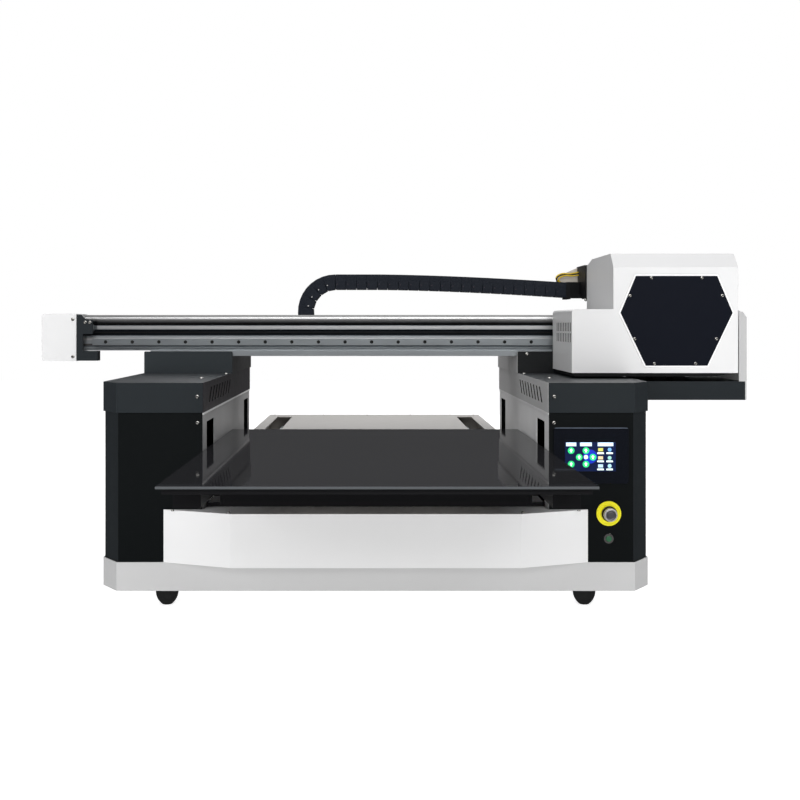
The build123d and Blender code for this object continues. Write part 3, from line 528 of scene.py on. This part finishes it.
FRONT, UP, REAR = (0, -1, 0), (0, 0, 1), (0, 1, 0)
(CAP_LOW, CAP_HIGH) = corners("right_cap")
(CABINET_LOW, CABINET_HIGH) = corners("right_cabinet")
RISER_LOW = corners("right_riser")[0]
COVER_LOW = corners("left_end_cover")[0]
BRACKET_LOW = corners("idler_bracket")[0]
panel_sites = []
for side in (-1, 1):
    panel_sites.append(((side * 333, CABINET_LOW[1], 349), FRONT))
    panel_sites.append(((side * 333, CAP_LOW[1], 398), FRONT))
    panel_sites.append(((side * 354, -88, CAP_HIGH[2]), UP))
    panel_sites.append(((side * 330, 130, CAP_HIGH[2]), UP))
for z in (545, 461):
    panel_sites.append(((-680, COVER_LOW[1], z), FRONT))
for x in (-650.5, -640):
    panel_sites.append(((x, BRACKET_LOW[1], 538), FRONT))
panel_sites.append(((340, RISER_LOW[1], 467), FRONT))
screw_heads("panel_screw_heads", panel_sites, 4.0, 2.2, "root", "panel_screws")

(HEX_LOW, HEX_HIGH) = corners("hex_plate")
HEX_X = (HEX_LOW[0] + HEX_HIGH[0]) / 2
hex_offsets = [(-51, 627), (51, 627), (-94, 591), (92, 591), (-85, 504), (80, 504), (-45, 454), (38, 454)]
hex_sites = [((HEX_X + x, HEX_LOW[1], z), FRONT) for x, z in hex_offsets]
screw_heads("hex_plate_screw_heads", hex_sites, 3.6, 2.0, "carriage", "hex_plate_screws")


# ---- pale rim round the hexagonal plate ----
def hexagon(grow):
    middle = (HEX_LOW[2] + HEX_HIGH[2]) / 2 + 16
    half = (HEX_HIGH[0] - HEX_LOW[0]) / 2
    return [(HEX_X - 82 - grow * 0.6, HEX_HIGH[2] + grow), (HEX_X + 82 + grow * 0.6, HEX_HIGH[2] + grow),
            (HEX_X + half + grow * 1.1, middle), (HEX_X + 62 + grow * 0.6, HEX_LOW[2] - grow),
            (HEX_X - 62 - grow * 0.6, HEX_LOW[2] - grow), (HEX_X - half - grow * 1.1, middle)]


def hex_rim():
    shape = Shape()
    out = -HEX_HIGH[1]
    rings = []
    for grow, w in ((0.3, out), (0.3, out + 3), (3.0, out + 3), (3.6, out)):
        rings.append(shape.ring([front_place(u, v, w) for u, v in hexagon(grow)]))
    for a, b in zip(rings, rings[1:] + rings[:1]):
        shape.join(a, b)
    piece("hex_rim", shape, RIM, "carriage")


RIM = Surface("rim_white", grey(0.92), rough=0.35, wear=0, mottle=0.01)
hex_rim()


# ---- touch screen picture: a generic jog pad, label bars and small icons ----
SCREEN_LOW = corners("touch_screen")[0]
SCREEN_OUT = -SCREEN_LOW[1]
SHOWN_LEFT, SHOWN_TOP, SHOWN_W, SHOWN_H = 353.0, 313.5, 94.6, 54.5


def lit(name, colour, strength):
    made = Surface(name, colour, rough=0.2, grain=0.02, wear=0, mottle=0.1, mottle_size=0.01)
    return made.glow(colour, strength)


def on_screen(name, outlines, height, surface):
    shape = Shape()
    for outline in outlines:
        points = [(SHOWN_LEFT + u, SHOWN_TOP - v) for u, v in outline]
        shape.prism(points, SCREEN_OUT, SCREEN_OUT + height, front_place)
    piece(name, shape, surface, "root")


def jog_pad():
    buttons = [(11.5, 15.8), (39, 15.8), (26.5, 28.2), (52, 28.2), (11.5, 41.2), (39, 41.2)]
    navy = lit("display_navy", (0.003, 0.009, 0.05), 0.25)
    on_screen("display_background", [rectangle(0, SHOWN_W, 0, SHOWN_H)], 0.15, navy)
    on_screen("display_glow", [disc(47, 27, 13)], 0.2, lit("display_blue", (0.005, 0.02, 0.35), 0.8))
    bars = [rectangle(left, right, 0.8, 7.6) for left, right in ((2, 21), (28, 50), (61, 90))]
    on_screen("display_bars", bars, 0.25, lit("display_label", (0.55, 0.75, 0.9), 0.7))
    green = lit("display_green", (0.02, 0.55, 0.16), 0.8)
    on_screen("display_buttons", [disc(u, v, 6.2) for u, v in buttons], 0.3, green)
    arrows = [[(u, v - 4), (u + 3.4, v), (u + 1.3, v), (u + 1.3, v + 3.4),
               (u - 1.3, v + 3.4), (u - 1.3, v), (u - 3.4, v)]
              for u, v in buttons]
    pale = lit("display_white", (0.75, 0.88, 0.85), 0.8)
    on_screen("display_arrows", arrows, 0.4, pale)
    on_screen("display_centre", [disc(39, 28, 3.9)], 0.3, pale)
    tints = [(0.5, 0.5, 0.1), (0.15, 0.35, 0.65), (0.65, 0.5, 0.3),
             (0.25, 0.5, 0.45), (0.4, 0.55, 0.7), (0.35, 0.6, 0.7)]
    spots = [(u, v) for v in (14.2, 29.4, 44.4) for u in (66.3, 83.2)]
    for number, ((u, v), tint) in enumerate(zip(spots, tints)):
        icon = disc(u, v, 4, 6) if number % 2 else rectangle(u - 4.6, u + 4.6, v - 3, v + 3)
        on_screen(f"display_icon_{number}", [icon], 0.3, lit(f"display_icon_{number}", tint, 0.6))
    on_screen("display_captions", [rectangle(u - 6, u + 6, v + 5, v + 8) for u, v in spots], 0.3, pale)


jog_pad()


# ---- emergency stop ----
def controls():
    (low, high) = corners("estop_collar")
    x, z = (low[0] + high[0]) / 2, (low[2] + high[2]) / 2
    face = corners("right_cabinet")[0][1]
    ring = Shape()
    ring.lathe([(22.6, 3), (22.4, 4), (20.5, 4.2), (20, 3.2), (16.5, 3.2), (16, 4.8), (14.4, 4.8), (14.2, 3)],
               (x, face, z), FRONT, sides=64, bored=True)
    piece("estop_guard_rings", ring, YELLOW, "root")
    sleeve = Shape()
    around_stem = [(14.4, 3), (14.4, 10.2), (13.6, 10.8), (6.8, 10.8), (6.8, 10.1), (14.05, 10.1)]
    sleeve.lathe(around_stem, (x, face, z), FRONT, sides=64, bored=True)
    piece("estop_sleeve", sleeve, DARK_METAL, "root")
    head = corners("estop_button")[0][1]
    cap = Shape()
    turned = [(9.5, 0), (9.5, 0.5), (8.5, 0.8), (7.6, 0.2), (6.4, 0.2), (5.8, 0.7), (3, 0.9)]
    cap.lathe(turned, (x, head, z), FRONT, sides=48)
    piece("estop_button_rings", cap, HEADS, "estop")


controls()


# ---- wires from the cable chain to the junction box ----
WIRE_Y = corners("wire_loop")[0][1] + 2.5


def wire(name, points, radius, colour, body="carriage"):
    data = bpy.data.curves.new(name, "CURVE")
    data.dimensions = "3D"
    data.bevel_depth = radius * MM
    data.bevel_resolution = 4
    spline = data.splines.new("NURBS")
    spline.points.add(len(points) - 1)
    for point, place in zip(spline.points, points):
        point.co = (*[c * MM for c in place], 1)
    spline.order_u = 3
    spline.use_endpoint_u = True
    data.resolution_u = 12
    holder = bpy.data.objects.new(name + "_curve", data)
    bpy.context.scene.collection.objects.link(holder)
    bpy.context.view_layer.update()
    mesh = bpy.data.meshes.new_from_object(holder)
    bpy.data.objects.remove(holder)
    made = bpy.data.objects.new(name, mesh)
    bpy.context.scene.collection.objects.link(made)
    mesh.materials.clear()
    mesh.materials.append(Surface(name + "_sheath", colour, rough=0.4, wear=0, edge=0.1).material)
    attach(made, body)
    return made


def wires():
    y = WIRE_Y
    route = [(433, y, 634), (427, y - 1, 641), (431, y - 2, 650),
             (446, y - 3, 655), (460, y - 3, 652), (481, y - 2, 657)]
    yellow = wire("wire_yellow", route, 1.7, (0.72, 0.50, 0.01))
    under = [(a + 5, b - 4, c - 5) for a, b, c in route[:-1]] + [(481, y - 6, 650)]
    second = wire("wire_yellow_two", [(438, y - 4, 634)] + under[1:], 1.6, (0.72, 0.50, 0.01))
    lower = [(a, b - 3.4, c - 3) for a, b, c in route]
    black = wire("wire_black", lower, 1.4, (0.01, 0.01, 0.01))
    third = [(a + 2, b + 3.2, c - 2) for a, b, c in route[:-1]] + [(481, y + 1, 657)]
    blue = wire("wire_blue", third, 1.3, (0.02, 0.10, 0.45))
    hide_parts("wire_loop")
    return yellow, second, black, blue


wires()


def ribbon():
    """Flat cables that fan out from the chain's end to the junction box."""
    shape = Shape()
    strands = 9
    for k in range(strands):
        t = k / (strands - 1)
        y = 316 + 6 * t
        high = 634 + 32 * t
        start = (430 + 4 * t, y, 634 + 12 * t)
        end = (481, y, high)
        points = [(start[0], start[2] - 1.6), (end[0], end[2] - 2.1),
                  (end[0], end[2] + 2.1), (start[0], start[2] + 1.6)]
        shape.prism(points, y, y + 0.8, lambda u, v, w: (u, w, v))
    piece("flat_cables", shape, CREAM, "carriage", bevel=0.2)


CREAM = Surface("flat_cable", (0.62, 0.57, 0.50), rough=0.5, wear=0)
ribbon()


# ---- toothed belts ----
def belt(name, node, along, across, body):
    """A closed loop whose teeth face inwards; along and across are the loop's axes."""
    (low, high) = corners(node)
    r = (high[2] - low[2]) / 2
    z = (high[2] + low[2]) / 2
    a, b = low[along] + r, high[along] - r
    straight = b - a
    outer_total = 2 * straight + 2 * pi * r
    teeth = round(outer_total / 5)
    count = teeth * 4

    def point(s, inset):
        radius = r - inset
        if s < straight:
            return (a + s, z + radius)
        s -= straight
        if s < pi * r:
            return (b + radius * sin(s / r), z + radius * cos(s / r))
        s -= pi * r
        if s < straight:
            return (b - s, z - radius)
        s -= straight
        return (a - radius * sin(s / r), z - radius * cos(s / r))

    shape = Shape()
    sections = []
    for k in range(count):
        s = outer_total * k / count
        depth = 1.2 if k % 4 < 2 else 0.9
        outside, inside = point(s, 0), point(s, depth)
        ring = []
        for (u, v), w in ((outside, low[across]), (outside, high[across]),
                          (inside, high[across]), (inside, low[across])):
            spot = [0, 0, v]
            spot[along] = u
            spot[across] = w
            ring.append(tuple(spot))
        sections.append(shape.ring(ring))
    for k in range(count):
        shape.join(sections[k], sections[(k + 1) % count])
    made = piece(name, shape, BELT, body)
    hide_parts(node)


belt("x_toothed_belt", "x_belt", 0, 1, "root")
belt("bed_toothed_belt", "bed_belt", 1, 0, "lift")


# ---- small fixings on the rear tray, the front cover and the rail ----
TRAY_HIGH = corners("tray_cover")[1]
tray_sites = [((x, TRAY_HIGH[1] - 12, TRAY_HIGH[2]), UP) for x in (-275, -140, -20, 100, 210, 275)]
screw_heads("tray_screw_heads", tray_sites, 3.0, 1.4, "lift", None)
(BULGE_LOW, BULGE_HIGH) = corners("front_cover")
bulge_sites = [((x, BULGE_LOW[1] + 16, BULGE_HIGH[2]), UP) for x in (-270, 270)]
bulge_sites += [((x, BULGE_LOW[1] + 36, BULGE_HIGH[2]), UP) for x in (-376, 376)]
screw_heads("front_cover_screw_heads", bulge_sites, 3.0, 2.6, "root", None)
(RAIL_LOW, RAIL_HIGH) = corners("x_rail")


def rail_hole_plugs():
    """Black caps, flush in the counterbores of the gantry rail."""
    shape = Shape()
    middle = (RAIL_LOW[2] + RAIL_HIGH[2]) / 2
    pitch = 60
    x = RAIL_LOW[0] + pitch / 2
    while x < RAIL_HIGH[0]:
        shape.lathe([(3.9, 0), (3.8, 0.15), (3.4, 0.2)], (x, RAIL_LOW[1], middle), FRONT, sides=28)
        x += pitch
    piece("rail_hole_plugs", shape, BELT, "root")


rail_hole_plugs()


def plate_end_ball():
    """The round head at the foot of the thin plate that hangs in front of the junction box."""
    shape = Shape()
    radius = 3.5
    profile = [(radius * sin(pi * k / 12), radius - radius * cos(pi * k / 12)) for k in range(1, 12)]
    shape.lathe(profile, (479.9, 203, 586), UP)
    piece("plate_end_ball", shape, CHROME, "carriage")
    shape = Shape()
    shape.prism(rectangle(200, 250, 592, 668), 479.0, 480.9, lambda u, v, w: (w, u, v))
    piece("box_edge_plate", shape, FRAME, "carriage", bevel=0.3)


plate_end_ball()


# ---- pale lips along the tops of the inner panels, under the caps ----
for side, word in ((-1, "left"), (1, "right")):
    shape = Shape()
    low, high = sorted((side * 322.3, side * 323.6))
    shape.prism(rectangle(-286, 568, 363.6, 367.8), low, high, lambda u, v, w: (w, u, v))
    piece(word + "_panel_lip", shape, RIM, "root")


# ---- service panels on the outer sides of the cabinets, and fixings at the rear ----
SIDEWAYS = {-1: (-1, 0, 0), 1: (1, 0, 0)}
side_sites = []
for side, word in ((-1, "left"), (1, "right")):
    face = side * CABINET_HIGH[0]
    shape = Shape()
    low, high = sorted((face, face + side * 1.2))
    shape.prism(rectangle(-140, 500, 118, 338), low, high, lambda u, v, w: (w, u, v))
    piece(word + "_service_panel", shape, BLACK, "root", bevel=0.4)
    for y in (-125, 180, 485):
        for z in (133, 323):
            side_sites.append(((face + side * 1.2, y, z), SIDEWAYS[side]))
screw_heads("service_panel_screw_heads", side_sites, 4.0, 2.2, "root", None)

rear_sites = []
for side in (-1, 1):
    for x in (345, 500):
        for z in (110, 350):
            rear_sites.append(((side * x, CABINET_HIGH[1], z), REAR))
(TROUGH_LOW, TROUGH_HIGH) = corners("chain_trough")
for k in range(7):
    x = TROUGH_LOW[0] + 30 + (TROUGH_HIGH[0] - TROUGH_LOW[0] - 60) * k / 6
    rear_sites.append(((x, TROUGH_HIGH[1], (TROUGH_LOW[2] + TROUGH_HIGH[2]) / 2), REAR))
screw_heads("rear_screw_heads", rear_sites, 4.0, 2.2, "root", None)


# ---- room ----
def floor():
    shape = Shape()
    shape.prism(rectangle(-9000, 9000, -9000, 9000), -4, 0, lambda u, v, w: (u, v, w))
    mesh = bpy.data.meshes.new("floor")
    mesh.from_pydata([[c * MM for c in v] for v in shape.verts], [], shape.faces)
    made = bpy.data.objects.new("floor", mesh)
    bpy.context.scene.collection.objects.link(made)
    pale = Surface("floor_pale", grey(0.86), rough=0.9, level=0.0, wear=0, mottle=0.01, grain=0.0)
    pale.glow(grey(1.0), 0.68)
    mesh.materials.append(pale.material)
    made.visible_glossy = False


def world():
    """Pale to the eye; for light and reflections, bright overhead and greyer near the horizon."""
    room = bpy.data.worlds.new("room")
    bpy.context.scene.world = room
    room.use_nodes = True
    tree = room.node_tree
    back = tree.nodes["Background"]
    coords = tree.nodes.new("ShaderNodeTexCoord")
    split = tree.nodes.new("ShaderNodeSeparateXYZ")
    tree.links.new(coords.outputs["Generated"], split.inputs[0])
    ramp = tree.nodes.new("ShaderNodeValToRGB")
    ramp.color_ramp.elements[0].position = 0.0
    ramp.color_ramp.elements[0].color = (0.10, 0.10, 0.105, 1)
    ramp.color_ramp.elements[1].position = 0.9
    ramp.color_ramp.elements[1].color = (0.55, 0.55, 0.56, 1)
    low = ramp.color_ramp.elements.new(0.02)
    low.color = (0.05, 0.05, 0.052, 1)
    mid = ramp.color_ramp.elements.new(0.30)
    mid.color = (0.20, 0.20, 0.205, 1)
    tree.links.new(split.outputs["Z"], ramp.inputs[0])
    path = tree.nodes.new("ShaderNodeLightPath")
    mix = tree.nodes.new("ShaderNodeMix")
    mix.data_type = "RGBA"
    tree.links.new(path.outputs["Is Camera Ray"], mix.inputs[0])
    tree.links.new(ramp.outputs[0], mix.inputs[6])
    mix.inputs[7].default_value = (1, 1, 1, 1)
    tree.links.new(mix.outputs[2], back.inputs["Color"])
    back.inputs["Strength"].default_value = 1.0


def area(name, place, target, size, power, mirrored=True):
    data = bpy.data.lights.new(name, "AREA")
    data.shape = "RECTANGLE"
    data.size, data.size_y = size
    data.energy = power
    lamp = bpy.data.objects.new(name, data)
    lamp.location = place
    lamp.visible_glossy = mirrored
    direction = Vector(target) - Vector(place)
    lamp.rotation_euler = direction.to_track_quat("-Z", "Y").to_euler()
    bpy.context.scene.collection.objects.link(lamp)


floor()
world()
area("front_fill", (0.3, -4.2, 2.0), (0, 0, 0.35), (3.5, 1.2), 52)
area("low_front", (0.0, -4.6, 0.5), (0, 0, 0.15), (4.0, 0.8), 54, mirrored=False)
area("top", (0, 0.3, 3.2), (0, 0.2, 0), (3.0, 3.0), 28)
area("side_left", (-2.6, -3.4, 1.2), (0.2, 0, 0.3), (1.5, 1.5), 34, mirrored=False)
area("side_right", (3.2, 0.6, 1.5), (0, 0, 0.4), (1.5, 1.5), 24, mirrored=False)
area("rear", (0.5, 4.5, 2.0), (0, 0.3, 0.3), (3.0, 1.5), 32)
